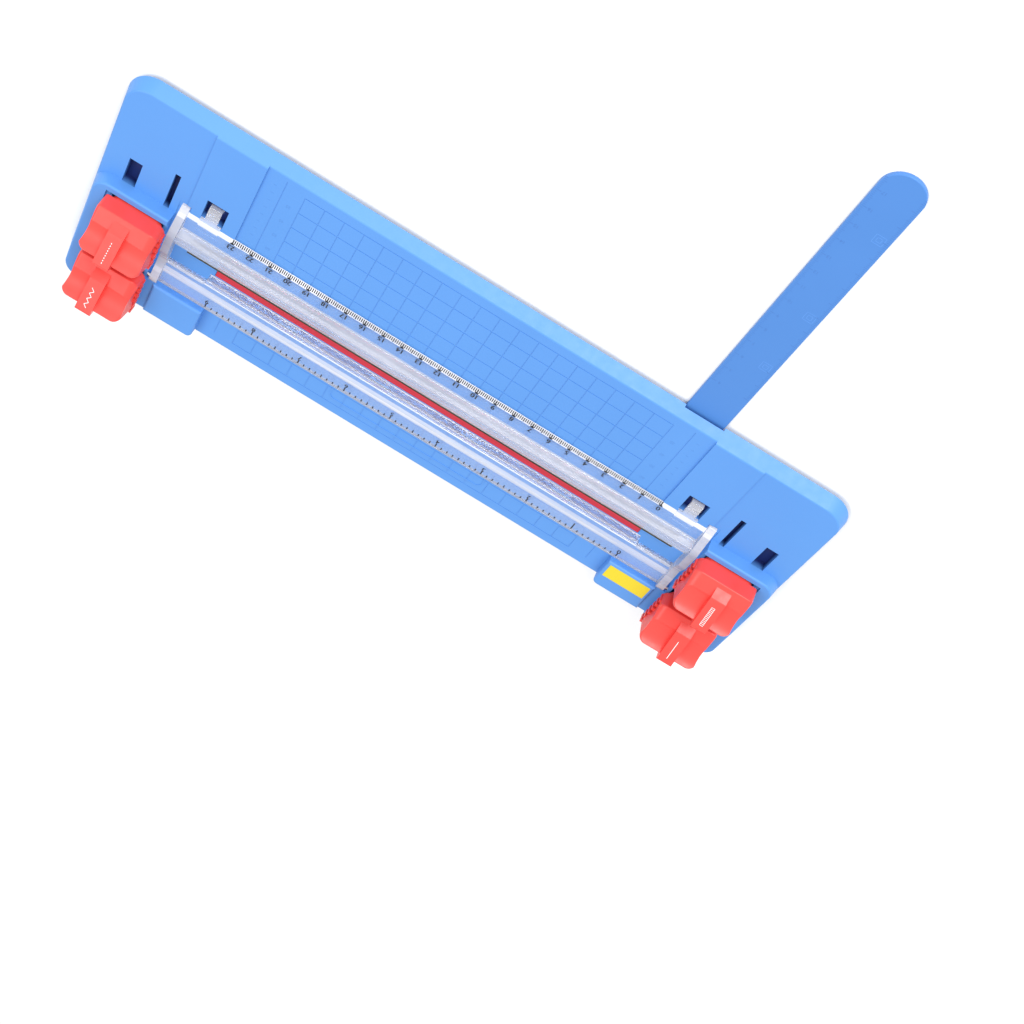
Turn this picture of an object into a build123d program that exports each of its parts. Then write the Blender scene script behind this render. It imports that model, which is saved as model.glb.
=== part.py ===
"""Rotary paper trimmer with four snap-in cutting heads, modelled as separate pieces.

Frame: +X to the user's right, -Y towards the user, +Z up. The origin is on the table, under the
middle of the base. Millimetres. Distances named *_back are measured from the foot of the base's
front skirt towards the rear.
"""

from build123d import *

import os

# Base: footprint, and the levels of its top measured up from the table
base_length = 372.0
base_depth = 128.3
front = -base_depth / 2
foot_height = 2.0
skirt_bottom = 2.6
plate_bottom = 6.6
bed_top = 8.6
end_floor = 9.1
panel_top = 9.8
wall = 2.2
skirt_slope = 0.633
side_slope = 0.27
bed_rear_back = 125.6
bed_half = 115.0
panel_half = 140.5
corner_radius = 13.0

# Measuring grid engraved in the bed
grid_pitch = 10.0
grid_first_back = 9.4
grid_half = 105.0
grid_row_half = 95.0
grid_lead = 3.0
grid_rows = 12
groove_width = 0.4
groove_depth = 0.2

# Docks that hold two cutting heads each, and the pads beside them
dock_inner = 144.5
dock_outer = 182.4
dock_front_back = 60.9
dock_lean = 1.2
dock_wall = 3.3
dock_top = 15.8
pocket_floor = 11.1
pocket_half = 13.4
rebate_floor = 14.5
rebate_half = 16.5
head_centre = 159.5
pad_inner = 113.7
pad_outer = 139.8
pad_front_back = 105.3
pad_rear_back = 125.4
pad_top = 15.1
bridge_top = 13.4

# Slots in the end floors before the docks (inner and outer X, front), closed below by trays
floor_slots = [(148.2, 151.0, 38.4), (166.0, 172.6, 45.1)]
tray_bottom = 3.0
tray_floor = 4.0
tray_wall = 1.2

# Clear rail, its hinge and its latches
rail_half = 138.8
rail_end = 142.8
rail_front_back = 55.0
end_wall_front_back = 51.8
slot_front_back = 76.6
slot_rear_back = 83.9
rail_rear_back = 104.3
hinge_back = 102.2
hinge_height = 13.0
hinge_eye_radius = 2.2
hinge_pin_radius = 1.2
running_gap = 0.06
latch_centre = 127.7
latch_half = 3.1
window_half = 5.5
window_front_back = 41.4
window_rear_back = 53.2
entry_inner = 118.0
entry_outer = 132.0
entry_rear_back = 88.6

# Cutting mat
mat_half = 116.0
mat_front_back = 73.3
mat_rear_back = 83.7
mat_bottom = 7.7
mat_top = 8.9

# Swing-out ruler arm
arm_x = -105.0
arm_pivot_back = 18.8
arm_width = 20.2
arm_reach = 183.0
arm_bottom = 0.35
arm_top = 2.3
arm_hub_radius = 7.0
arm_hub_top = 4.4
arm_boss_radius = 2.5
screw_head_radius = 4.4
screw_radius = 1.2

# Cutting heads: the front one's face, then levels and half widths
head_first_back = 64.9
head_pitch = 34.5
head_half = 15.7
head_length = 28.6
rib_half = 4.0
rib_offset = 1.4
tooth_first = 3.4
tooth_pitch = 4.0
shoulder = 16.7
skirt_half = 12.9
cover_bottom = 14.4
carriage_half = 10.2
carriage_front = 3.2
carriage_rear = 23.8
carriage_bottom = 11.2
carriage_floor = 12.8
carriage_top = 16.6
cavity_top = 22.0
axle_y = 13.5
axle_height = 19.3
axle_radius = 1.5
wheel_radius = 7.4
hub_radius = 2.3
hub_half = 2.7
spring_x = 6.9
spring_wire = 0.3
spring_mean = 1.6


def back(distance):
    """Y of a place that far behind the foot of the front skirt."""
    return front + distance


def block(x0, x1, y0, y1, z0, z1):
    """Box between two opposite corners."""
    middle = Pos((x0 + x1) / 2, (y0 + y1) / 2, (z0 + z1) / 2)
    return middle * Box(abs(x1 - x0), abs(y1 - y0), abs(z1 - z0))


def upright(x, y, radius, z0, z1):
    """Vertical cylinder."""
    return Pos(x, y, (z0 + z1) / 2) * Cylinder(radius, z1 - z0)


def crosswise(x0, x1, y, z, radius):
    """Cylinder along X."""
    return Pos((x0 + x1) / 2, y, z) * Rot(0, 90, 0) * Cylinder(radius, abs(x1 - x0))


def side_extrusion(points, x0, x1, rounding=None):
    """Extrude a side outline of (Y, Z) points from x0 to x1; rounding maps corners to radii."""
    outline = make_face(Polyline(*points, close=True))
    for corner, radius in (rounding or {}).items():
        place = Vector(points[corner][0], points[corner][1], 0)
        outline = fillet(outline.vertices().sort_by_distance(place)[0], radius)
    return Pos(x0, 0, 0) * extrude(Plane.YZ * outline, x1 - x0)


def both_sides(solid):
    """The solid and its mirror image at the other end of the trimmer."""
    return solid + mirror(solid, about=Plane.YZ)


def base_outline(z, inset=0.0):
    """Plan of the base at one height; the front and side skirts lean outwards towards the table."""
    rise = z - skirt_bottom
    half = base_length / 2 - side_slope * rise - inset
    y0 = back(skirt_slope * rise + inset)
    y1 = back(bed_rear_back - inset)
    radius = corner_radius - rise / 3 - inset
    return Pos(0, (y0 + y1) / 2, z) * RectangleRounded(2 * half, y1 - y0, radius)


def level_stretch(level, half):
    """Middle stretch of the base with its top at the given level."""
    lean = skirt_slope * (level - skirt_bottom)
    points = [
        (back(0), skirt_bottom),
        (back(lean), level),
        (back(bed_rear_back), level),
        (back(bed_rear_back), skirt_bottom),
    ]
    return side_extrusion(points, -half, half, {1: 1.2, 2: 1.0})


def dock_plan(z):
    """Plan of the right-hand dock at one height: its front and outer walls lean with the base's skirt."""
    fall = (dock_top - z) / (dock_top - skirt_bottom)
    outer = dock_outer + fall * (base_length / 2 - dock_outer)
    y0 = back(dock_front_back - fall * dock_lean)
    y1 = back(base_depth)
    return Pos(outer - 40, (y0 + y1) / 2, z) * RectangleRounded(80, y1 - y0, 7.0)


def dock_block():
    """Raised block at the right-hand end that two heads are parked on."""
    dock = loft([dock_plan(skirt_bottom), dock_plan(dock_top)])
    dock -= block(dock_inner - 60, dock_inner, back(0), back(base_depth + 1), 0, 20)
    return fillet(dock.faces().sort_by(Axis.Z)[-1].edges(), 1.0)


def pad_block():
    """Raised pad behind the right-hand end of the rail, and the lower link to the dock."""
    pad = block(pad_inner, pad_outer, back(pad_front_back), back(pad_rear_back), bed_top - 1, pad_top)
    pad = fillet(pad.edges().filter_by(Axis.Z).group_by(Axis.X)[0].sort_by(Axis.Y)[-1], 2.5)
    pad = fillet(pad.faces().sort_by(Axis.Z)[-1].edges(), 1.3)
    link = block(pad_outer - 1, dock_inner + 1, back(pad_front_back), back(pad_rear_back),
                 bed_top - 1, bridge_top)
    return pad + link


def dock_cuts():
    """Pocket and rebate for the heads, blade slots and hollow of the right-hand dock, and the two
    slots before it."""
    inner = head_centre - pocket_half
    outer = head_centre + pocket_half
    front_wall = back(dock_front_back + dock_wall)
    hollow_rear = back(base_depth - 4.0)
    cuts = block(inner, outer, front_wall, back(base_depth - 1.5), pocket_floor, dock_top + 1)
    cuts += block(head_centre - rebate_half, head_centre + rebate_half, front_wall, back(base_depth + 1),
                  rebate_floor, dock_top + 1)
    cuts += block(inner + 1, dock_outer - wall, front_wall, hollow_rear, 0, pocket_floor - 2)
    cuts += block(outer + 1.8, dock_outer - wall, front_wall + 2, hollow_rear, 0, dock_top - 2)
    for place in range(2):
        middle = back(head_first_back + place * head_pitch + axle_y)
        cuts += block(head_centre - 2, head_centre + 2, middle - 8, middle + 8, 0, pocket_floor + 1)
    for x0, x1, front_back in floor_slots:
        cuts += block(x0, x1, back(front_back), back(dock_front_back), 0, end_floor + 0.1)
    cuts += crosswise(dock_inner - 1, inner + 0.1, back(hinge_back), hinge_height, hinge_pin_radius)
    return cuts


def rail_seat_cuts():
    """Lowered floor that the right-hand half of the rail lies in."""
    seat = block(0, dock_inner, back(rail_front_back - 0.3), back(pad_front_back), bed_top, 20)
    return seat + block(rail_half - 0.5, dock_inner, back(end_wall_front_back - 0.4),
                        back(rail_front_back), bed_top + 0.3, 20)


def pad_cuts():
    """Hollow under the right-hand pad, and the window for the rail's latch."""
    cuts = block(pad_inner + 1.8, pad_outer - 1.8, back(pad_front_back + 1.8), back(pad_rear_back - 1.8),
                 0, pad_top - 2)
    cuts += block(latch_centre - window_half, latch_centre + window_half, back(window_front_back),
                  back(window_rear_back), 0, panel_top + 1)
    return cuts


def grid_cuts():
    """Engraved measuring grid: a line every centimetre both ways; the end columns stand alone."""
    half_width = groove_width / 2
    floor = bed_top - groove_depth
    first = back(grid_first_back)
    last = back(grid_first_back + (grid_rows - 1) * grid_pitch)
    columns = round(2 * grid_half / grid_pitch) + 1
    cuts = []
    for column in range(columns):
        x = -grid_half + column * grid_pitch
        start = first - grid_lead if abs(x) > grid_row_half else first
        cuts.append(block(x - half_width, x + half_width, start, last, floor, bed_top + 1))
    for row in range(grid_rows):
        y = first + row * grid_pitch
        cuts.append(block(-grid_row_half, grid_row_half, y - half_width, y + half_width, floor, bed_top + 1))
    return cuts


def tray(x0, x1, front_back, rear_back):
    """Shallow tray under an opening in the plate, that closes it from below."""
    outside = block(x0 - tray_wall, x1 + tray_wall, back(front_back - tray_wall), back(rear_back + tray_wall),
                    tray_bottom, plate_bottom + 0.3)
    return outside - block(x0, x1, back(front_back), back(rear_back), tray_floor, plate_bottom + 1)


def trays():
    """Trays under the right-hand end's two slots and its latch window."""
    closed = tray(latch_centre - window_half, latch_centre + window_half, window_front_back, window_rear_back)
    for x0, x1, front_back in floor_slots:
        closed += tray(x0, x1, front_back, dock_front_back)
    return closed


def underside_ribs():
    """Stiffening ribs under the plate, clear of the arm's hub and of the latch windows."""
    top = plate_bottom + 0.2
    ribs = block(-90, 176, back(34.0), back(35.4), 4.6, top)
    ribs += block(-142, 142, back(92.0), back(93.4), 4.6, top)
    for x in (-80, -40, 40, 80):
        ribs += block(x - 0.7, x + 0.7, back(34.5), back(bed_rear_back - 1), 4.6, top)
    return ribs


def foot_places():
    """Centres of the five rubber feet, with the level each one's boss reaches up to."""
    places = [(0.0, 0.0, plate_bottom + 0.5)]
    for side in (-1, 1):
        places.append((side * 166.0, back(20.0), plate_bottom + 0.5))
        places.append((side * 172.5, back(110.0), pocket_floor - 0.5))
    return places


def base_shell():
    """Moulded base: thin plate with a leaning skirt, docks, pads, grid and underside bosses."""
    shell = loft([base_outline(skirt_bottom), base_outline(end_floor)])
    shell = fillet(shell.faces().sort_by(Axis.Z)[-1].edges(), 0.9)
    shell -= block(-panel_half, panel_half, back(-5), back(base_depth), 0, 20)
    shell += level_stretch(panel_top, panel_half)
    shell -= block(-bed_half, bed_half, back(-5), back(base_depth), 0, 20)
    shell += level_stretch(bed_top, bed_half)
    shell -= both_sides(rail_seat_cuts())
    shell += both_sides(dock_block() + pad_block())
    shell -= loft([base_outline(skirt_bottom - 1, wall), base_outline(plate_bottom, wall)])
    shell += underside_ribs()
    shell -= both_sides(dock_cuts() + pad_cuts())
    shell += both_sides(trays())
    shell -= block(-mat_half - 0.2, mat_half + 0.2, back(mat_front_back - 0.2), back(mat_rear_back + 0.2),
                   mat_bottom, bed_top + 1)
    shell -= grid_cuts()
    rim = extrude(RectangleRounded(86, 9.6, 3.4) - RectangleRounded(84.6, 8.2, 2.7), 0.35)
    shell += Pos(0, back(111.3), bed_top - 0.1) * rim
    for x, y, boss_top in foot_places():
        shell += upright(x, y, 7.5, foot_height, boss_top)
    pivot_y = back(arm_pivot_back)
    shell += upright(arm_x, pivot_y, 6.5, arm_hub_top + 0.1, plate_bottom + 0.5)
    shell += upright(arm_x, pivot_y, arm_boss_radius, arm_top + 0.05, plate_bottom)
    shell -= upright(arm_x, pivot_y, screw_radius, 2.0, 6.0)
    half_notch = arm_width / 2 + 0.2
    return shell - block(arm_x - half_notch, arm_x + half_notch, back(-1), back(9), 2, 3.9)


def rubber_feet():
    feet = []
    for x, y, _ in foot_places():
        foot = upright(x, y, 6.0, 0, foot_height)
        feet.append(fillet(foot.edges().sort_by(Axis.Z)[0], 0.5))
    return feet


def cutting_mat():
    mat = block(-mat_half, mat_half, back(mat_front_back), back(mat_rear_back), mat_bottom, mat_top)
    return fillet(mat.faces().sort_by(Axis.Z)[-1].edges(), 0.25)


def plain_label():
    """Plain sticker on the left-hand pad."""
    return block(-138.0, -115.4, back(106.9), back(116.4), pad_top, pad_top + 0.12)


def rail_hinge_pins():
    pins = []
    for side in (-1, 1):
        pins.append(crosswise(side * (rail_half + 0.8), side * (head_centre - pocket_half), back(hinge_back),
                              hinge_height, hinge_pin_radius))
    return pins


def rail_front_bar():
    """Front of the rail: ruler plate, raised guide and the ledge beside the slot."""
    points = [
        (back(rail_front_back), 9.1),
        (back(rail_front_back), 9.5),
        (back(57.3), 10.6),
        (back(65.2), 10.6),
        (back(66.3), 15.7),
        (back(70.0), 15.7),
        (back(71.0), 11.9),
        (back(slot_front_back), 11.9),
        (back(slot_front_back), 9.1),
    ]
    bar = side_extrusion(points, -rail_half, rail_half, {3: 0.8, 4: 0.5, 5: 0.5, 6: 0.8})
    bar -= block(-rail_half, rail_half, back(67.7), back(68.5), 15.0, 16)
    bar -= both_sides(block(entry_outer, rail_half, back(slot_front_back - 1.1), back(slot_front_back + 1), 9, 12))
    return bar - block(-entry_outer, entry_outer, back(slot_front_back - 0.9), back(slot_front_back + 1), 11.4, 12)


def rail_rear_bar():
    """Rear of the rail: slot wall, channel and inch plate, cut back where the heads are loaded."""
    points = [
        (back(slot_rear_back), 9.1),
        (back(slot_rear_back), 15.5),
        (back(slot_rear_back + 1.4), 15.5),
        (back(slot_rear_back + 1.9), 13.0),
        (back(93.0), 13.0),
        (back(96.2), 12.0),
        (back(rail_rear_back), 12.0),
        (back(rail_rear_back), 9.8),
        (back(rail_rear_back - 5), 9.1),
    ]
    bar = side_extrusion(points, -rail_half, rail_half, {1: 0.4, 2: 0.4, 3: 0.8})
    gap = block(entry_inner, rail_half, back(slot_rear_back - 1), back(entry_rear_back), 9, 17)
    gap = fillet(gap.edges().filter_by(Axis.Z).group_by(Axis.X)[0].sort_by(Axis.Y)[-1], 2.0)
    bar -= both_sides(gap)
    for x in (-75, -25, 25, 75):
        bar += block(x - 5.2, x + 5.2, back(slot_rear_back - 0.9), back(slot_rear_back + 0.4), 11.2, 12.8)
    return bar


def rail_end_wall():
    """Right-hand end wall, with the hinge eye at its rear."""
    points = [
        (back(end_wall_front_back), 9.2),
        (back(end_wall_front_back), 10.8),
        (back(67.5), 17.2),
        (back(79.0), 17.2),
        (back(86.5), 13.4),
        (back(hinge_back), hinge_height + hinge_eye_radius),
        (back(hinge_back), 9.8),
    ]
    end = side_extrusion(points, rail_half, rail_end, {1: 0.8, 2: 3.0, 3: 3.0, 4: 2.0})
    end += crosswise(rail_half, rail_end, back(hinge_back), hinge_height, hinge_eye_radius)
    bore = crosswise(rail_half + 0.7, rail_end + 1, back(hinge_back), hinge_height,
                     hinge_pin_radius + running_gap)
    return end - bore


def rail_latch():
    """Right-hand latch: a tongue over the base with a leg that drops through its window."""
    tongue = block(latch_centre - 5.2, latch_centre + 5.2, back(52.4), back(60.0), 9.95, 11.2)
    tongue += block(latch_centre - latch_half, latch_centre + latch_half, back(43.0), back(53.0), 9.95, 11.2)
    leg = block(latch_centre - latch_half, latch_centre + latch_half, back(43.0), back(44.6), 4.6, 11.0)
    bump = crosswise(latch_centre - 2.6, latch_centre + 2.6, back(43.1), 5.6, 0.6)
    latch = tongue + leg + bump
    for y in (45.4, 47.4, 49.4):
        latch += block(latch_centre - latch_half, latch_centre + latch_half, back(y), back(y + 0.7), 11.0, 11.6)
    return latch


def clear_rail():
    return rail_front_bar() + rail_rear_bar() + both_sides(rail_end_wall() + rail_latch())


def slot_guard_strip():
    """Thin strip along the front of the slot, for the cutting head to run against."""
    return block(-entry_outer, entry_outer, back(slot_front_back - 0.9), back(slot_front_back), 11.4, 11.9)


def ruler_arm():
    """Swing-out ruler arm, with its hub round the base's pivot boss."""
    pivot_y = back(arm_pivot_back)
    length = arm_reach + arm_width / 2
    middle = pivot_y + arm_width / 2 - length / 2
    plan = Pos(arm_x, middle, arm_bottom) * RectangleRounded(arm_width, length, arm_width / 2 - 0.05)
    arm = extrude(plan, arm_top - arm_bottom)
    arm = fillet(arm.faces().sort_by(Axis.Z)[-1].edges(), 0.5)
    arm += upright(arm_x, pivot_y, arm_hub_radius, arm_top - 0.1, arm_hub_top)
    arm -= upright(arm_x, pivot_y, arm_boss_radius + running_gap, 0, 6)
    return arm - upright(arm_x, pivot_y, screw_head_radius + 0.3, 0, 2.3)


def arm_pivot_screw():
    pivot_y = back(arm_pivot_back)
    screw = upright(arm_x, pivot_y, screw_head_radius, 0.65, 2.25)
    screw += upright(arm_x, pivot_y, screw_radius, 2.25, 6.0)
    return screw - Pos(arm_x, pivot_y, 0.65) * (Box(4.4, 0.9, 1.4) + Box(0.9, 4.4, 1.4))


def cover_body(outward):
    """Outer shape of a head's cover, front at Y = 0: a wedge rising to two wings with a rib between
    them. The rib stands a little nearer the trimmer's end, at +X when outward is 1."""
    rib_middle = outward * rib_offset
    wedge_points = [
        (0, shoulder),
        (0, 25.2),
        (7.2, 29.2),
        (19.8, 36.9),
        (head_length, 18.2),
        (head_length, shoulder),
    ]
    wedge = side_extrusion(wedge_points, -head_half, head_half, {1: 0.7})
    rear = ((19.8 + head_length) / 2, (36.9 + 18.2) / 2)
    wide = [(-outward, (0, 21.0)), (-outward, rear), (outward, rear)]
    wedge = fillet([wedge.edges().sort_by_distance(Vector(side * head_half, *place))[0]
                    for side, place in wide], 4.2)
    wedge = fillet(wedge.edges().sort_by_distance(Vector(outward * head_half, 0, 21.0))[0], 1.8)
    for side in (-1, 1):
        wedge -= upright(side * (head_half + 39.1), 11.0, 40.0, 0, 60)
        wedge -= crosswise(rib_middle + side * rib_half, side * (head_half + 1), 6.2, 44.4, 15.4)
    rib_points = [
        (2.0, 24.0),
        (2.0, 26.2),
        (5.6, 30.9),
        (21.0, 38.9),
        (22.4, 37.6),
        (23.2, 28.0),
    ]
    rib = side_extrusion(rib_points, -rib_half, rib_half, {2: 1.4, 3: 1.0, 4: 0.8})
    return wedge + Pos(rib_middle, 0, 0) * rib


def cover_tooth_row(side, grow=0.0):
    """Six grip teeth along one side of a cover; grow widens them to cut the grooves between."""
    return [block(side * (head_half - 1.2), side * (head_half + 0.5 + grow), y, y + 2.0,
                  shoulder - grow, shoulder + 4.4)
            for y in (tooth_first + place * tooth_pitch + grow * tooth_pitch / 2 for place in range(6))]


def head_cover(outward):
    """Cover: the outer shell with grip teeth on its inner side, its skirt, and two cheeks inside
    that hold the axle."""
    skirt_plan = Pos(0, 13.0, cover_bottom) * RectangleRounded(2 * skirt_half, 26.0, 3.5)
    skirt = extrude(skirt_plan, shoulder + 0.2 - cover_bottom)
    cover = cover_body(outward) - cover_tooth_row(-outward, grow=1.0) + cover_tooth_row(-outward) + skirt
    cover -= block(-carriage_half - 0.3, carriage_half + 0.3, carriage_front - 0.3, carriage_rear + 0.3,
                   cover_bottom - 1, cavity_top)
    cover -= block(-2.2, 2.2, axle_y - wheel_radius - 0.6, axle_y + wheel_radius + 0.6, 14, 27.3)
    for side in (-1, 1):
        cover += block(side * 2.9, side * 4.7, axle_y - 3.5, axle_y + 3.5, axle_height - 2.6, cavity_top + 0.5)
        cover -= block(side * 10.3, side * 12.2, 10.2, 16.8, 15.2, 18.6)
    return cover - crosswise(-4.7, 4.7, axle_y, axle_height, axle_radius)


def head_carriage():
    """Carriage: open box that rides in the rail, slotted for the blade, with two retaining lugs."""
    carriage = block(-carriage_half, carriage_half, carriage_front, carriage_rear, carriage_bottom, carriage_top)
    carriage -= block(-carriage_half + 1.3, carriage_half - 1.3, carriage_front + 1.3, carriage_rear - 1.3,
                      carriage_floor, carriage_top + 1)
    carriage -= block(-1.7, 1.7, axle_y - 6.8, axle_y + 6.8, 10, carriage_floor + 1)
    for side in (-1, 1):
        carriage += block(side * 10.0, side * 11.8, 10.6, 16.4, 15.4, 16.4)
    return carriage


def head_axle():
    return crosswise(-4.7, 4.7, axle_y, axle_height, axle_radius)


def head_springs():
    """Pair of coil springs between the carriage's floor and the cover's roof."""
    height = cavity_top - carriage_floor - 2 * spring_wire
    springs = []
    for side in (-1, 1):
        path = Helix(pitch=height / 5, height=height, radius=spring_mean)
        section = Plane(origin=path @ 0, z_dir=path % 0) * Circle(spring_wire)
        coil = sweep(section, path=path, is_frenet=True)
        springs.append(Pos(side * spring_x, axle_y, carriage_floor + spring_wire) * coil)
    return springs


def wheel_blank(radius, rim_half, edge_half):
    """Disc with a hub, on the X axis; rim_half and edge_half are half its thickness inside and at the edge."""
    profile = Polyline(
        (0, 0),
        (0, hub_half),
        (hub_radius, hub_half),
        (hub_radius, rim_half),
        (radius - 1.2, rim_half),
        (radius, edge_half),
        (radius, 0),
        close=True)
    half = revolve(Plane.XZ * make_face(profile), Axis.Z)
    disc = half + mirror(half, about=Plane.XY)
    return disc - Cylinder(axle_radius + running_gap, 3 * hub_half)


def straight_wheel():
    return wheel_blank(wheel_radius, 0.35, 0.05)


def perforating_wheel():
    """Straight blade with gaps cut in its edge."""
    wheel = wheel_blank(wheel_radius, 0.35, 0.05)
    for place in range(16):
        wheel -= Rot(0, 0, place * 22.5) * Pos(wheel_radius, 0, 0) * Box(1.4, 1.0, 2)
    return wheel


def creasing_wheel():
    """Blunt wheel that presses a fold line."""
    return wheel_blank(wheel_radius - 0.1, 0.6, 0.35)


def wavy_wheel():
    """Wheel whose edge swings from side to side."""
    wheel = wheel_blank(wheel_radius - 0.8, 0.7, 0.4)
    for place in range(20):
        swing = 0.35 if place % 2 else -0.35
        wheel += Rot(0, 0, place * 18.0) * Pos(wheel_radius - 1.1, 0, swing) * Box(1.9, 2.1, 0.5)
    return wheel


def save(name, shape):
    pieces = shape if isinstance(shape, list) else [shape]
    solids = [solid for piece in pieces for solid in piece.solids()]
    compound = Compound(children=solids) if len(solids) > 1 else solids[0]
    compound.label = name
    export_step(compound, f"parts/{name}.step")


def main():
    os.makedirs("parts", exist_ok=True)
    save("base_shell", base_shell())
    save("rubber_feet", rubber_feet())
    save("cutting_mat", cutting_mat())
    save("plain_label", plain_label())
    save("rail_hinge_pins", rail_hinge_pins())
    save("clear_rail", clear_rail())
    save("slot_guard_strip", slot_guard_strip())
    save("ruler_arm", ruler_arm())
    save("arm_pivot_screw", arm_pivot_screw())

    carriage = head_carriage()
    axle = head_axle()
    springs = head_springs()
    heads = [
        ("perforating", 1, 0, perforating_wheel()),
        ("wavy", 1, 1, wavy_wheel()),
        ("creasing", -1, 0, creasing_wheel()),
        ("straight", -1, 1, straight_wheel()),
    ]
    for name, side, place, wheel in heads:
        parked = Pos(side * head_centre, back(head_first_back + place * head_pitch), 0)
        save(f"{name}_head_cover", parked * head_cover(side))
        save(f"{name}_head_carriage", parked * carriage)
        save(f"{name}_head_axle", parked * axle)
        save(f"{name}_head_springs", [parked * spring for spring in springs])
        save(f"{name}_head_wheel", parked * Pos(0, axle_y, axle_height) * Rot(0, 90, 0) * wheel)


if __name__ == "__main__":
    main()
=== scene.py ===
from math import cos, radians, sin

import bpy
from mathutils import Matrix, Vector


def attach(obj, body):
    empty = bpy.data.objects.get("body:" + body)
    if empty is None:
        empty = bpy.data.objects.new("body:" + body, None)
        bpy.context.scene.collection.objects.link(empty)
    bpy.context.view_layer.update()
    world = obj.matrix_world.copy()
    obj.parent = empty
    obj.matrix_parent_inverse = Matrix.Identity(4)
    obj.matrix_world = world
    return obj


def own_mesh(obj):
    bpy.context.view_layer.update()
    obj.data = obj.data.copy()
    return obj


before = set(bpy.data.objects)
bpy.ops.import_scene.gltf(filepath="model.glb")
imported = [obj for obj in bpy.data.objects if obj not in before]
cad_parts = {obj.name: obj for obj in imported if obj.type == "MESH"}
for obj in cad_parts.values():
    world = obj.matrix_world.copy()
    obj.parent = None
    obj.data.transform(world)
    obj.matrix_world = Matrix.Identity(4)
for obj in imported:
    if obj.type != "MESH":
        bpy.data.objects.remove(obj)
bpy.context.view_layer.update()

MM = 0.001

# Places on the trimmer, in millimetres
FRONT = -64.15
BED_TOP = 8.6
RULER_PLATE_TOP = 10.6
INCH_PLATE_TOP = 12.0
RAIL_HALF = 138.7
ARM_TOP = 2.3
PRINT_LIFT = 0.01
PRINT_THICKNESS = 0.03
STROKE_SINK = 0.02

# Each head's kind of cut, its side (1 is +X) and its place on the dock from the front
RED_HEADS = [
    ("perforating", 1, 0),
    ("wavy", 1, 1),
    ("creasing", -1, 0),
    ("straight", -1, 1),
]


def back(distance):
    """Y, in millimetres, of a place that far behind the foot of the base's front skirt."""
    return FRONT + distance


# ---------------------------------------------------------------- materials

def new_material(name):
    """Material with an empty node tree, its output and a Principled shader already joined."""
    mat = bpy.data.materials.new(name)
    mat.use_nodes = True
    tree = mat.node_tree
    tree.nodes.clear()
    out = tree.nodes.new("ShaderNodeOutputMaterial")
    shader = tree.nodes.new("ShaderNodeBsdfPrincipled")
    tree.links.new(shader.outputs["BSDF"], out.inputs["Surface"])
    return mat, tree, shader


def object_coords(tree):
    """The object's own coordinates, in metres."""
    return tree.nodes.new("ShaderNodeTexCoord").outputs["Object"]


def noise(tree, scale, detail=2.0, stretch=(1, 1, 1)):
    """Noise in the object's own metres; stretch squeezes it along an axis."""
    mapping = tree.nodes.new("ShaderNodeMapping")
    mapping.inputs["Scale"].default_value = stretch
    tex = tree.nodes.new("ShaderNodeTexNoise")
    tex.inputs["Scale"].default_value = scale
    tex.inputs["Detail"].default_value = detail
    tree.links.new(object_coords(tree), mapping.inputs["Vector"])
    tree.links.new(mapping.outputs["Vector"], tex.inputs["Vector"])
    return tex.outputs["Fac"]


def mix_colour(tree, fac, a, b):
    """Blend from a at 0 to b at 1; each is a colour or a socket."""
    mix = tree.nodes.new("ShaderNodeMix")
    mix.data_type = "RGBA"
    for socket, value in ((mix.inputs["A"], a), (mix.inputs["B"], b)):
        if isinstance(value, tuple):
            socket.default_value = (*value, 1)
        else:
            tree.links.new(value, socket)
    tree.links.new(fac, mix.inputs["Factor"])
    return mix.outputs["Result"]


def remap(tree, value, low, high, from_low=0.3, from_high=0.7):
    """Value taken from one range to another; the first default range is where most noise lies."""
    node = tree.nodes.new("ShaderNodeMapRange")
    node.inputs["From Min"].default_value = from_low
    node.inputs["From Max"].default_value = from_high
    node.inputs["To Min"].default_value = low
    node.inputs["To Max"].default_value = high
    tree.links.new(value, node.inputs["Value"])
    return node.outputs["Result"]


def bump(tree, shader, height, strength, distance):
    """Fine relief on a shader, with its depth in metres."""
    node = tree.nodes.new("ShaderNodeBump")
    node.inputs["Strength"].default_value = strength
    node.inputs["Distance"].default_value = distance
    tree.links.new(height, node.inputs["Height"])
    tree.links.new(node.outputs["Normal"], shader.inputs["Normal"])


def ramp(tree, value, stops):
    """Ramp from a value to a grey level: stops is a list of (position, level)."""
    node = tree.nodes.new("ShaderNodeValToRGB")
    node.color_ramp.interpolation = "LINEAR"
    elements = node.color_ramp.elements
    while len(elements) < len(stops):
        elements.new(0.5)
    for element, (position, level) in zip(elements, stops):
        element.position = position
        element.color = (level, level, level, 1)
    tree.links.new(value, node.inputs["Fac"])
    return node.outputs["Color"]


def math(tree, operation, *values):
    """One arithmetic step; each value is a number or a socket."""
    node = tree.nodes.new("ShaderNodeMath")
    node.operation = operation
    for socket, value in zip(node.inputs, values):
        if isinstance(value, (int, float)):
            socket.default_value = value
        else:
            tree.links.new(value, socket)
    return node.outputs["Value"]


def plastic(name, light, dark, rough=(0.42, 0.52)):
    """Satin moulded plastic: faint flow mottle, uneven gloss and a fine spark-eroded grain."""
    mat, tree, shader = new_material(name)
    mottle = noise(tree, 18.0, 3.0)
    tree.links.new(mix_colour(tree, remap(tree, mottle, 0, 1), dark, light), shader.inputs["Base Color"])
    tree.links.new(remap(tree, noise(tree, 260.0, 2.0), rough[0], rough[1]), shader.inputs["Roughness"])
    shader.inputs["IOR"].default_value = 1.46
    bump(tree, shader, noise(tree, 2600.0, 2.0), 0.10, 0.04 * MM)
    return mat


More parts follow.
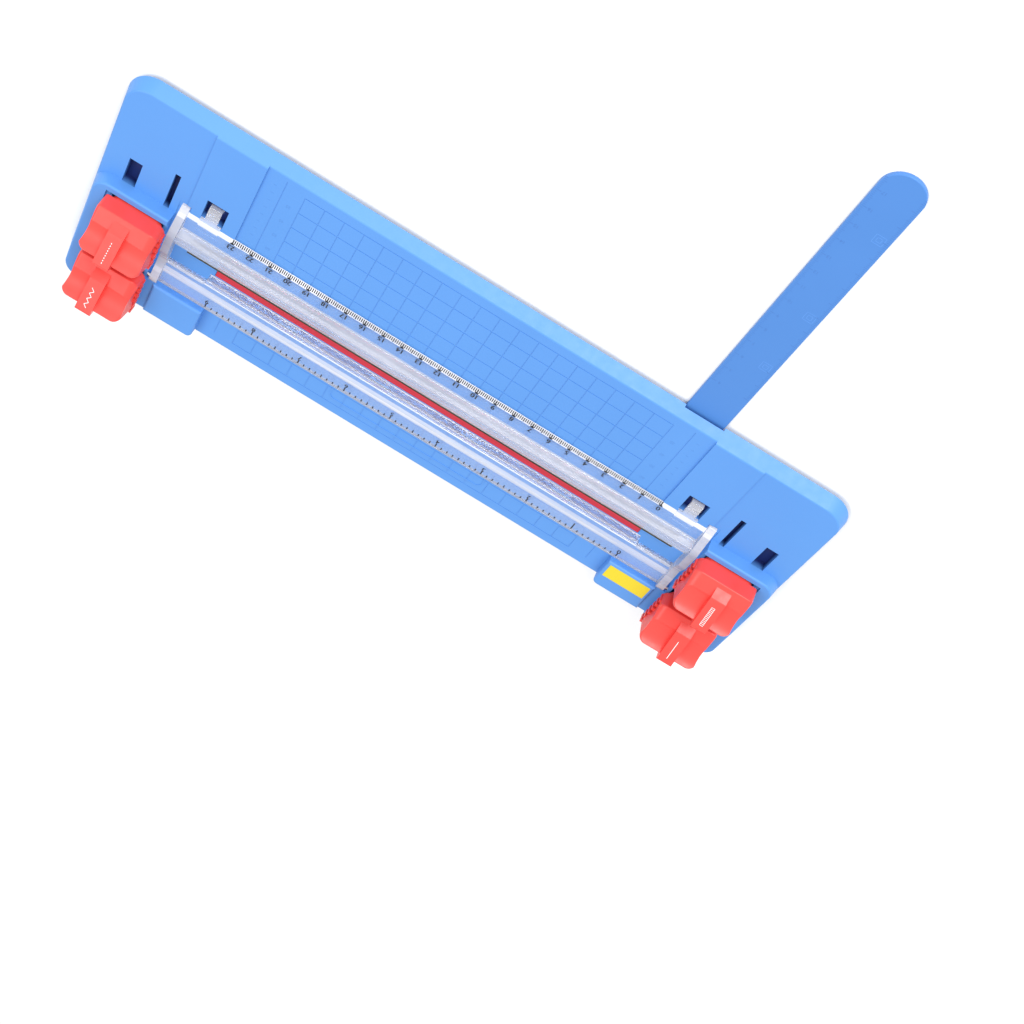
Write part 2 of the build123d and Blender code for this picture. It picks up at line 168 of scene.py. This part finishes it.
def between(tree, value, low, high, soft):
    """1 between low and high, falling to 0 over the soft distance outside them."""
    rise = remap(tree, value, 0, 1, low - soft, low)
    fall = remap(tree, value, 1, 0, high, high + soft)
    return math(tree, "MULTIPLY", rise, fall)


def deepen_openings(mat):
    """Painted shade: darker navy painted into the blue inside the slots and latch windows, where no light
    gets in.
    """
    tree = mat.node_tree
    shader = next(n for n in tree.nodes if n.bl_idname == "ShaderNodeBsdfPrincipled")
    surface = shader.inputs["Base Color"].links[0].from_socket
    coords = tree.nodes.new("ShaderNodeSeparateXYZ")
    tree.links.new(object_coords(tree), coords.inputs["Vector"])
    along = math(tree, "ABSOLUTE", coords.outputs["X"])
    painted_shade = None
    edge = 0.1 * MM
    narrow_slot = (148.2, 151.0, 38.4, 60.9)
    wide_slot = (166.0, 172.6, 45.1, 60.9)
    latch_window = (122.2, 133.2, 41.4, 53.2)
    for inner, outer, front, rear in (narrow_slot, wide_slot, latch_window):
        across = between(tree, along, inner * MM, outer * MM, edge)
        inside = between(tree, coords.outputs["Y"], back(front) * MM, back(rear) * MM, edge)
        here = math(tree, "MULTIPLY", across, inside)
        painted_shade = here if painted_shade is None else math(tree, "MAXIMUM", painted_shade, here)
    below = remap(tree, coords.outputs["Z"], 1, 0, 5.0 * MM, 9.0 * MM)
    painted_shade = math(tree, "MULTIPLY", painted_shade, below)
    # Painted shade: deep navy mixed into the base's blue inside the openings
    tree.links.new(mix_colour(tree, painted_shade, surface, (0.006, 0.018, 0.12)), shader.inputs["Base Color"])


def metal(name, light, dark, rough=(0.22, 0.38), stretch=(1, 1, 1)):
    """Drawn or ground metal with fine streaks along its length."""
    mat, tree, shader = new_material(name)
    streak = noise(tree, 900.0, 4.0, stretch)
    tree.links.new(mix_colour(tree, remap(tree, streak, 0, 1), dark, light), shader.inputs["Base Color"])
    tree.links.new(remap(tree, streak, rough[0], rough[1]), shader.inputs["Roughness"])
    shader.inputs["Metallic"].default_value = 1.0
    bump(tree, shader, streak, 0.12, 0.03 * MM)
    return mat


def clear_plastic(name):
    """Clear styrene: glossy and see-through on its flats, hazier on its walls, ribs and frosted ends; its
    whitest milk on slopes and edge tops is painted highlight and reflection, and the dark milk along its
    rear edge is painted shadow.
    """
    mat, tree, shader = new_material(name)
    coords = tree.nodes.new("ShaderNodeSeparateXYZ")
    tree.links.new(object_coords(tree), coords.inputs["Vector"])
    along = math(tree, "ABSOLUTE", coords.outputs["X"])
    at_end = remap(tree, along, 0, 1, (RAIL_HALF - 0.1) * MM, (RAIL_HALF + 0.1) * MM)
    depth = remap(tree, coords.outputs["Y"], 0, 1, back(50) * MM, back(110) * MM)
    # Place from the rail's front to its rear (0 is back(50), 1 is back(110)), haze and tone; the whitest
    # milk on slopes and edge tops is painted highlight and reflection, the dark milk at the rear edge
    # painted shadow
    zones = [
        (0.0, 0.28, 0.80), (0.078, 0.28, 0.80),  # latch tongues
        # Painted reflection: white milk on the bevelled front edge
        (0.083, 0.76, 0.86), (0.118, 0.76, 0.86),  # bevelled front edge
        (0.123, 0.08, 0.60), (0.25, 0.08, 0.60),  # ruler plate
        # Painted reflection: white milk on the guide's front slope
        (0.254, 0.64, 0.56), (0.268, 0.60, 0.54),  # front slope of the guide
        (0.277, 0.40, 0.52), (0.333, 0.34, 0.48),  # top of the guide
        (0.338, 0.45, 0.48), (0.44, 0.45, 0.48),  # ledge beside the slot
        (0.56, 0.12, 0.55), (0.570, 0.12, 0.55),  # cutting slot
        # Painted highlight: white milk along the top of the slot's wall
        (0.575, 0.75, 0.90), (0.588, 0.75, 0.90),  # top of the slot's wall
        (0.592, 0.10, 0.55), (0.713, 0.10, 0.55),  # rear channel
        # Painted highlight: white milk on the slope down to the inch plate
        (0.718, 0.65, 0.74), (0.768, 0.65, 0.74),  # slope down to the inch plate
        (0.774, 0.12, 0.60), (0.890, 0.12, 0.60),  # inch plate
        # Painted shadow: dark milk along the rail's rear edge
        (0.897, 0.85, 0.30),  # rear edge
    ]
    # Painted light: the whitest bands stand in for highlights and reflections, the dark rear band for
    # shadow
    haze_and_painted_light = ramp(tree, depth, [(place, level) for place, level, _ in zones])
    tone_and_painted_light = ramp(tree, depth, [(place, level) for place, _, level in zones])
    grain = noise(tree, 150.0, 3.0, (0.15, 1, 1))
    haze_and_painted_light = math(tree, "MULTIPLY", haze_and_painted_light, remap(tree, grain, 0.85, 1.15))
    haze_and_painted_light = math(tree, "MAXIMUM", haze_and_painted_light, math(tree, "MULTIPLY", at_end, remap(tree, grain, 0.55, 0.75)))
    tree.links.new(remap(tree, grain, 0.02, 0.06), shader.inputs["Roughness"])
    tree.links.new(mix_colour(tree, grain, (0.985, 0.99, 1.0), (0.97, 0.98, 0.995)),
                   shader.inputs["Base Color"])
    shader.inputs["Transmission Weight"].default_value = 1.0
    shader.inputs["IOR"].default_value = 1.42
    bump(tree, shader, noise(tree, 60.0, 1.0), 0.03, 0.2 * MM)
    milk_and_painted_light = tree.nodes.new("ShaderNodeBsdfPrincipled")
    body = math(tree, "MULTIPLY", tone_and_painted_light, remap(tree, grain, 0.92, 1.08))
    body = math(tree, "MULTIPLY", body, remap(tree, at_end, 1.0, 0.8))
    tree.links.new(mix_colour(tree, body, (0, 0.03, 0.12), (0.98, 0.97, 1.0)), milk_and_painted_light.inputs["Base Color"])
    tree.links.new(remap(tree, grain, 0.3, 0.45), milk_and_painted_light.inputs["Roughness"])
    both = tree.nodes.new("ShaderNodeMixShader")
    tree.links.new(haze_and_painted_light, both.inputs["Fac"])
    tree.links.new(shader.outputs["BSDF"], both.inputs[1])
    tree.links.new(milk_and_painted_light.outputs["BSDF"], both.inputs[2])
    let_light_through(tree, both.outputs["Shader"], (0.93, 0.96, 0.98, 1))
    return mat


def let_light_through(tree, shader, tint):
    """Light that only passes through the plastic goes straight on, so what lies under it is lit."""
    path = tree.nodes.new("ShaderNodeLightPath")
    passing = tree.nodes.new("ShaderNodeMath")
    passing.operation = "MAXIMUM"
    tree.links.new(path.outputs["Is Shadow Ray"], passing.inputs[0])
    tree.links.new(path.outputs["Is Diffuse Ray"], passing.inputs[1])
    straight = tree.nodes.new("ShaderNodeBsdfTransparent")
    straight.inputs["Color"].default_value = tint
    mix = tree.nodes.new("ShaderNodeMixShader")
    tree.links.new(passing.outputs["Value"], mix.inputs["Fac"])
    tree.links.new(shader, mix.inputs[1])
    tree.links.new(straight.outputs["BSDF"], mix.inputs[2])
    output = next(n for n in tree.nodes if n.bl_idname == "ShaderNodeOutputMaterial")
    tree.links.new(mix.outputs["Shader"], output.inputs["Surface"])


def ink(name, colour, pale):
    """Printed ink: slightly patchy where the pad printed thin."""
    mat, tree, shader = new_material(name)
    patch = noise(tree, 1500.0, 3.0)
    tree.links.new(mix_colour(tree, remap(tree, patch, 0, 0.35), colour, pale), shader.inputs["Base Color"])
    tree.links.new(remap(tree, patch, 0.45, 0.6), shader.inputs["Roughness"])
    return mat


def rubber(name):
    """Black rubber with a dusty grain."""
    mat, tree, shader = new_material(name)
    grain = noise(tree, 700.0, 3.0)
    tree.links.new(mix_colour(tree, grain, (0.02, 0.02, 0.022), (0.05, 0.05, 0.052)),
                   shader.inputs["Base Color"])
    tree.links.new(remap(tree, grain, 0.7, 0.85), shader.inputs["Roughness"])
    bump(tree, shader, grain, 0.2, 0.05 * MM)
    return mat


def mat_surface(name):
    """Soft mat strip with faint cut marks along its length."""
    mat, tree, shader = new_material(name)
    cuts = noise(tree, 60.0, 4.0, (0.4, 40, 1))
    tree.links.new(mix_colour(tree, remap(tree, cuts, 0, 1), (0.50, 0.018, 0.035), (0.58, 0.026, 0.048)),
                   shader.inputs["Base Color"])
    tree.links.new(remap(tree, cuts, 0.5, 0.62), shader.inputs["Roughness"])
    bump(tree, shader, cuts, 0.15, 0.05 * MM)
    return mat


BLUE = plastic("blue_plastic", (0.092, 0.276, 0.67), (0.086, 0.264, 0.65))
# Painted shade inside the base's slots and latch windows
deepen_openings(BLUE)
ARM_BLUE = plastic("arm_plastic", (0.066, 0.212, 0.56), (0.061, 0.202, 0.54))
RED = plastic("red_plastic", (0.82, 0.062, 0.050), (0.78, 0.057, 0.046), (0.32, 0.42))
CLEAR = clear_plastic("clear_plastic")
CARRIAGE = plastic("carriage_plastic", (0.80, 0.80, 0.78), (0.76, 0.76, 0.74))
CREASER = plastic("creaser_plastic", (0.84, 0.84, 0.82), (0.80, 0.80, 0.78))
MAT = mat_surface("red_mat")
LABEL = ink("yellow_label", (0.72, 0.58, 0.01), (0.66, 0.53, 0.02))
RUBBER = rubber("foot_rubber")
PIN = metal("hinge_steel", (0.62, 0.63, 0.65), (0.5, 0.51, 0.53), stretch=(0.1, 1, 1))
STRIP = metal("strip_steel", (0.10, 0.09, 0.06), (0.06, 0.055, 0.04), stretch=(0.05, 1, 1))
SCREW = metal("screw_steel", (0.62, 0.63, 0.65), (0.5, 0.51, 0.53))
AXLE = metal("axle_steel", (0.66, 0.67, 0.69), (0.55, 0.56, 0.58), stretch=(0.1, 1, 1))
SPRING = metal("spring_steel", (0.55, 0.56, 0.58), (0.42, 0.43, 0.45))
BLADE = metal("blade_steel", (0.75, 0.76, 0.78), (0.62, 0.63, 0.65), (0.15, 0.28))
BLACK_INK = ink("black_ink", (0.012, 0.012, 0.014), (0.05, 0.05, 0.055))
WHITE_INK = ink("white_ink", (0.86, 0.86, 0.86), (0.78, 0.78, 0.78))
ARM_MARK = ink("arm_mark", (0.050, 0.162, 0.46), (0.056, 0.175, 0.49))
# Painted highlight: the lit tops of the arm's small ridged frames, lighter than the arm's blue
ARM_RIDGE_HIGHLIGHT = ink("arm_ridge_highlight", (0.090, 0.262, 0.65), (0.080, 0.240, 0.61))
BED_MARK = ink("bed_mark", (0.072, 0.222, 0.57), (0.078, 0.236, 0.60))

node_material = {
    "base_shell": BLUE,
    "rubber_feet": RUBBER,
    "cutting_mat": MAT,
    "plain_label": LABEL,
    "rail_hinge_pins": PIN,
    "clear_rail": CLEAR,
    "slot_guard_strip": STRIP,
    "ruler_arm": ARM_BLUE,
    "arm_pivot_screw": SCREW,
}
for head, _, _ in RED_HEADS:
    node_material[head + "_head_cover"] = RED
    node_material[head + "_head_carriage"] = CARRIAGE
    node_material[head + "_head_axle"] = AXLE
    node_material[head + "_head_springs"] = SPRING
    node_material[head + "_head_wheel"] = CREASER if head == "creasing" else BLADE

for node, material in node_material.items():
    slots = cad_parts[node].data.materials
    if len(slots) == 0:
        slots.append(material)
    for index in range(len(slots)):
        slots[index] = material

# The coil springs shorten between carriage and cover as a cover is pressed down; here each head's springs
# only get a mesh of their own
for head, _, _ in RED_HEADS:
    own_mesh(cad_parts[head + "_head_springs"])


# ---------------------------------------------------------------- pieces

def piece(name, vertices, faces, material, body):
    """Mesh object from millimetre vertices, riding on a CAD body."""
    mesh = bpy.data.meshes.new(name)
    mesh.from_pydata([Vector(v) * MM for v in vertices], [], faces)
    mesh.update()
    mesh.materials.append(material)
    obj = bpy.data.objects.new(name, mesh)
    bpy.context.scene.collection.objects.link(obj)
    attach(obj, body)
    return obj


def lettering(name, marks, size, z, material, body, slot, strikes=((0, 0),)):
    """Printed text: marks is a list of (text, x, y), centred on x, reading from the user's side.

    Each (x, z) in strikes is the offset of one printing; two close printings make bolder lines."""
    text_meshes = []
    for text, x, y in marks:
        for shift, rise in strikes:
            curve = bpy.data.curves.new(name, "FONT")
            curve.body = text
            curve.size = size * MM
            curve.align_x = "CENTER"
            curve.align_y = "CENTER"
            curve.extrude = PRINT_THICKNESS * MM / 2
            temp = bpy.data.objects.new(name, curve)
            bpy.context.scene.collection.objects.link(temp)
            bpy.context.view_layer.update()
            mesh = bpy.data.meshes.new_from_object(temp)
            mesh.transform(Matrix.Translation(Vector((x + shift, y, z + PRINT_LIFT + rise)) * MM))
            bpy.data.objects.remove(temp)
            text_meshes.append(mesh)
    vertices, faces = [], []
    for mesh in text_meshes:
        base = len(vertices)
        vertices += [v.co / MM for v in mesh.vertices]
        faces += [tuple(base + i for i in polygon.vertices) for polygon in mesh.polygons]
        bpy.data.meshes.remove(mesh)
    return piece(name, vertices, faces, material, body)


def add_stroke(vertices, faces, x0, y0, x1, y1, half, level):
    """Append one printed stroke from (x0, y0) to (x1, y1) that lies on the surface at level(y)."""
    run = Vector((x1 - x0, y1 - y0)).normalized() * half
    corners = [(x0 - run.y, y0 + run.x), (x0 + run.y, y0 - run.x),
               (x1 + run.y, y1 - run.x), (x1 - run.y, y1 + run.x)]
    base = len(vertices)
    vertices += [(x, y, level(y) - STROKE_SINK) for x, y in corners]
    vertices += [(x, y, level(y) + PRINT_THICKNESS) for x, y in corners]
    quads = [(0, 3, 2, 1), (4, 5, 6, 7), (0, 1, 5, 4), (1, 2, 6, 5), (2, 3, 7, 6), (3, 0, 4, 7)]
    faces += [tuple(base + i for i in quad) for quad in quads]


def strokes(name, lines, half, level, material, body, slot):
    """Printed strokes as one piece: lines is a list of (x0, y0, x1, y1)."""
    vertices, faces = [], []
    for x0, y0, x1, y1 in lines:
        add_stroke(vertices, faces, x0, y0, x1, y1, half, level)
    return piece(name, vertices, faces, material, body)


def flat(z):
    """Level of a flat surface, as strokes() wants it."""
    return lambda y: z


def rail_bevel(y):
    """Level of the sloping front edge of the rail's ruler plate."""
    foot, run = 9.5, 2.3
    return foot + (y - back(55.0)) * (RULER_PLATE_TOP - foot) / run


# Two printings a quarter of a millimetre apart, the second a hair higher
BOLD = ((-0.12, 0), (0.12, 0.01))
RAIL_PRINT = (BLACK_INK, "rail", "clear_plastic")
ARM_PRINT = (ARM_MARK, "arm", "arm_plastic")
BED_PRINT = (BED_MARK, "base", "blue_plastic")

# Printed centimetre scale: ticks on the sloping front edge of the rail, numerals behind them
CM_ZERO = -115.0
fine, medium, long = [], [], []
for step in range(231):
    x = CM_ZERO + step
    if step % 10 == 0:
        long.append((x, back(55.1), x, back(57.3)))
        long.append((x - 0.9, back(57.0), x + 0.9, back(57.0)))
    elif step % 5 == 0:
        medium.append((x, back(55.1), x, back(57.0)))
    else:
        fine.append((x, back(55.05), x, back(56.8)))
strokes("cm_fine_ticks", fine, 0.27, rail_bevel, *RAIL_PRINT)
strokes("cm_medium_ticks", medium, 0.30, rail_bevel, *RAIL_PRINT)
strokes("cm_long_ticks", long, 0.34, rail_bevel, *RAIL_PRINT)
numerals = [(str(n), CM_ZERO + 10 * n, back(59.4)) for n in range(24)]
lettering("cm_numerals", numerals, 3.9, RULER_PLATE_TOP, *RAIL_PRINT, strikes=BOLD)

# Printed inch scale on the rail's rear plate
INCH_ZERO = -114.8
INCH = 25.4
fine, long = [], []
for step in range(73):
    x = INCH_ZERO + step * INCH / 8
    if step % 8 == 0:
        long.append((x, back(100.4), x, back(102.9)))
    else:
        fine.append((x, back(100.9 if step % 4 == 0 else 101.3), x, back(102.9)))
strokes("inch_fine_ticks", fine, 0.30, flat(INCH_PLATE_TOP), *RAIL_PRINT)
strokes("inch_long_ticks", long, 0.32, flat(INCH_PLATE_TOP), *RAIL_PRINT)
numerals = [(str(n), INCH_ZERO + INCH * n, back(99.0)) for n in range(10)]
lettering("inch_numerals", numerals, 3.6, INCH_PLATE_TOP, *RAIL_PRINT, strikes=BOLD)

# Faint marks on the arm: a scale along each edge, its numerals and three small double frames; the frames
# are ridges drawn flat in a lighter blue, a painted highlight
ARM_X, ARM_PIVOT = -105.0, back(18.8)
ARM_SCALE_EDGE = 9.4
fine, long, frames = [], [], []
for step in range(40, 178):
    y = ARM_PIVOT - step
    reach = 2.4 if step % 10 == 0 else (1.7 if step % 5 == 0 else 1.1)
    row = long if step % 10 == 0 else fine
    row.append((ARM_X + ARM_SCALE_EDGE, y, ARM_X + ARM_SCALE_EDGE - reach, y))
    row.append((ARM_X - ARM_SCALE_EDGE, y, ARM_X - ARM_SCALE_EDGE + reach, y))
for distance in (62.0, 98.0, 150.0):
    for half in (2.3, 1.1):
        x, y = ARM_X - 5.2, ARM_PIVOT - distance
        frames += [(x - half, y - half, x + half, y - half), (x - half, y + half, x + half, y + half),
                   (x - half, y - half, x - half, y + half), (x + half, y - half, x + half, y + half)]
strokes("arm_fine_ticks", fine, 0.08, flat(ARM_TOP), *ARM_PRINT)
strokes("arm_long_ticks", long, 0.11, flat(ARM_TOP), *ARM_PRINT)
strokes("arm_frames", frames, 0.13, flat(ARM_TOP), ARM_RIDGE_HIGHLIGHT, "arm", "arm_plastic")
numerals = [(str(n), ARM_X + 5.4, ARM_PIVOT - 10 * n) for n in range(4, 18)]
lettering("arm_numerals", numerals, 2.3, ARM_TOP, *ARM_PRINT)

# Faint size numerals and short marks beside the grid's end columns
marks, notes = [], []
for side in (-1, 1):
    for step in range(9):
        y = back(11.9 + 5.0 * step)
        marks.append((side * 108.5, y, side * 110.0, y))
    for row in range(1, 5):
        notes.append((str(20 + 10 * row), side * 100.0, back(9.4 + 10.0 * row)))
strokes("grid_marks", marks, 0.12, flat(BED_TOP), *BED_PRINT)
lettering("grid_numerals", notes, 2.4, BED_TOP, *BED_PRINT)

# White sign on each cutting head's rib, one for each kind of cut
RIB_X, HEAD_FIRST, HEAD_PITCH = 160.9, 64.9, 34.5
SIGN_FRONT, SIGN_REAR = 9.2, 18.6
SIGN_HALF = 0.85


def sign_lines(head):
    """Strokes of a head's sign, from its front end towards its rear end, centred on x = 0."""
    length = SIGN_REAR - SIGN_FRONT
    if head == "straight":
        return [(0, 0, 0, length)]
    if head == "perforating":
        return [(0, length * i / 8, 0, length * (i + 0.45) / 8) for i in range(9)]
    if head == "wavy":
        points = [(SIGN_HALF * (-1) ** i, length * i / 7) for i in range(8)]
        return [(*p, *q) for p, q in zip(points, points[1:])]
    rungs = [(-SIGN_HALF, length * i / 12, SIGN_HALF, length * i / 12) for i in range(13)]
    return rungs + [(-SIGN_HALF, 0, -SIGN_HALF, length), (SIGN_HALF, 0, SIGN_HALF, length)]


def rib_top(nose):
    """Level of the top of a head's rib, which rises 8 mm over 15.4 mm behind the head's nose."""
    return lambda y: 30.9 + (y - nose - 5.6) * 8.0 / 15.4


sign_width = {"straight": 0.15, "perforating": 0.2, "wavy": 0.13, "creasing": 0.09}
for head, side, place in RED_HEADS:
    nose = back(HEAD_FIRST + HEAD_PITCH * place)
    lines = [(side * RIB_X + x0, nose + SIGN_FRONT + y0, side * RIB_X + x1, nose + SIGN_FRONT + y1)
             for x0, y0, x1, y1 in sign_lines(head)]
    strokes(head + "_sign", lines, sign_width[head], rib_top(nose), WHITE_INK, head + "_cover",
            "red_plastic")


# ---------------------------------------------------------------- stage, light and camera

floor_mat, floor_tree, floor_shader = new_material("studio_floor")
floor_tone = noise(floor_tree, 3.0, 2.0)
floor_tree.links.new(mix_colour(floor_tree, floor_tone, (0.92, 0.92, 0.92), (0.94, 0.94, 0.94)),
                     floor_shader.inputs["Base Color"])
floor_shader.inputs["Roughness"].default_value = 0.9
floor_mesh = bpy.data.meshes.new("floor")
FLOOR_HALF = 6
floor_corners = [(x * FLOOR_HALF, y * FLOOR_HALF, 0) for x, y in ((-1, -1), (1, -1), (1, 1), (-1, 1))]
floor_mesh.from_pydata(floor_corners, [], [(0, 1, 2, 3)])
floor_mesh.materials.append(floor_mat)
floor = bpy.data.objects.new("floor", floor_mesh)
bpy.context.scene.collection.objects.link(floor)

bpy.context.scene.view_settings.view_transform = "Standard"
world = bpy.data.worlds.new("studio")
bpy.context.scene.world = world
world.use_nodes = True
world.node_tree.nodes["Background"].inputs["Color"].default_value = (1, 1, 1, 1)
world.node_tree.nodes["Background"].inputs["Strength"].default_value = 0.88


def soft_light(name, place, size, power):
    """Round area light at a place in metres, aimed at the origin."""
    data = bpy.data.lights.new(name, "AREA")
    data.shape = "DISK"
    data.size = size
    data.energy = power
    lamp = bpy.data.objects.new(name, data)
    lamp.location = place
    lamp.rotation_euler = (-Vector(place)).to_track_quat("-Z", "Y").to_euler()
    bpy.context.scene.collection.objects.link(lamp)


soft_light("key", (-0.45, -1.8, 0.95), size=1.0, power=30)
soft_light("fill", (0.9, -0.3, 1.6), size=1.2, power=12)

CAMERA_AIM = (-0.03208, 0.02787, 0.0086)
CAMERA_DISTANCE = 0.8938
CAMERA_AZIMUTH = -5.813
CAMERA_ELEVATION = 40.678
CAMERA_ROLL = -152.5
CAMERA_LENS = 66.296
CAMERA_SHIFT = (0.03125, -0.06055)


def add_camera():
    """Camera that looks down at the aim point, rolled so that the user's side is towards the top."""
    azimuth, elevation, roll = (radians(v) for v in (CAMERA_AZIMUTH, CAMERA_ELEVATION, CAMERA_ROLL))
    forward = Vector((sin(azimuth) * cos(elevation), cos(azimuth) * cos(elevation), -sin(elevation)))
    level = Vector((cos(azimuth), -sin(azimuth), 0))
    upright = level.cross(forward)
    right = cos(roll) * level + sin(roll) * upright
    up = cos(roll) * upright - sin(roll) * level
    data = bpy.data.cameras.new("camera")
    data.lens = CAMERA_LENS
    data.shift_x, data.shift_y = CAMERA_SHIFT
    data.clip_start = 0.02
    camera = bpy.data.objects.new("camera", data)
    turn = Matrix((right, up, -forward)).transposed().to_4x4()
    camera.matrix_world = Matrix.Translation(Vector(CAMERA_AIM) - CAMERA_DISTANCE * forward) @ turn
    bpy.context.scene.collection.objects.link(camera)
    bpy.context.scene.camera = camera


add_camera()
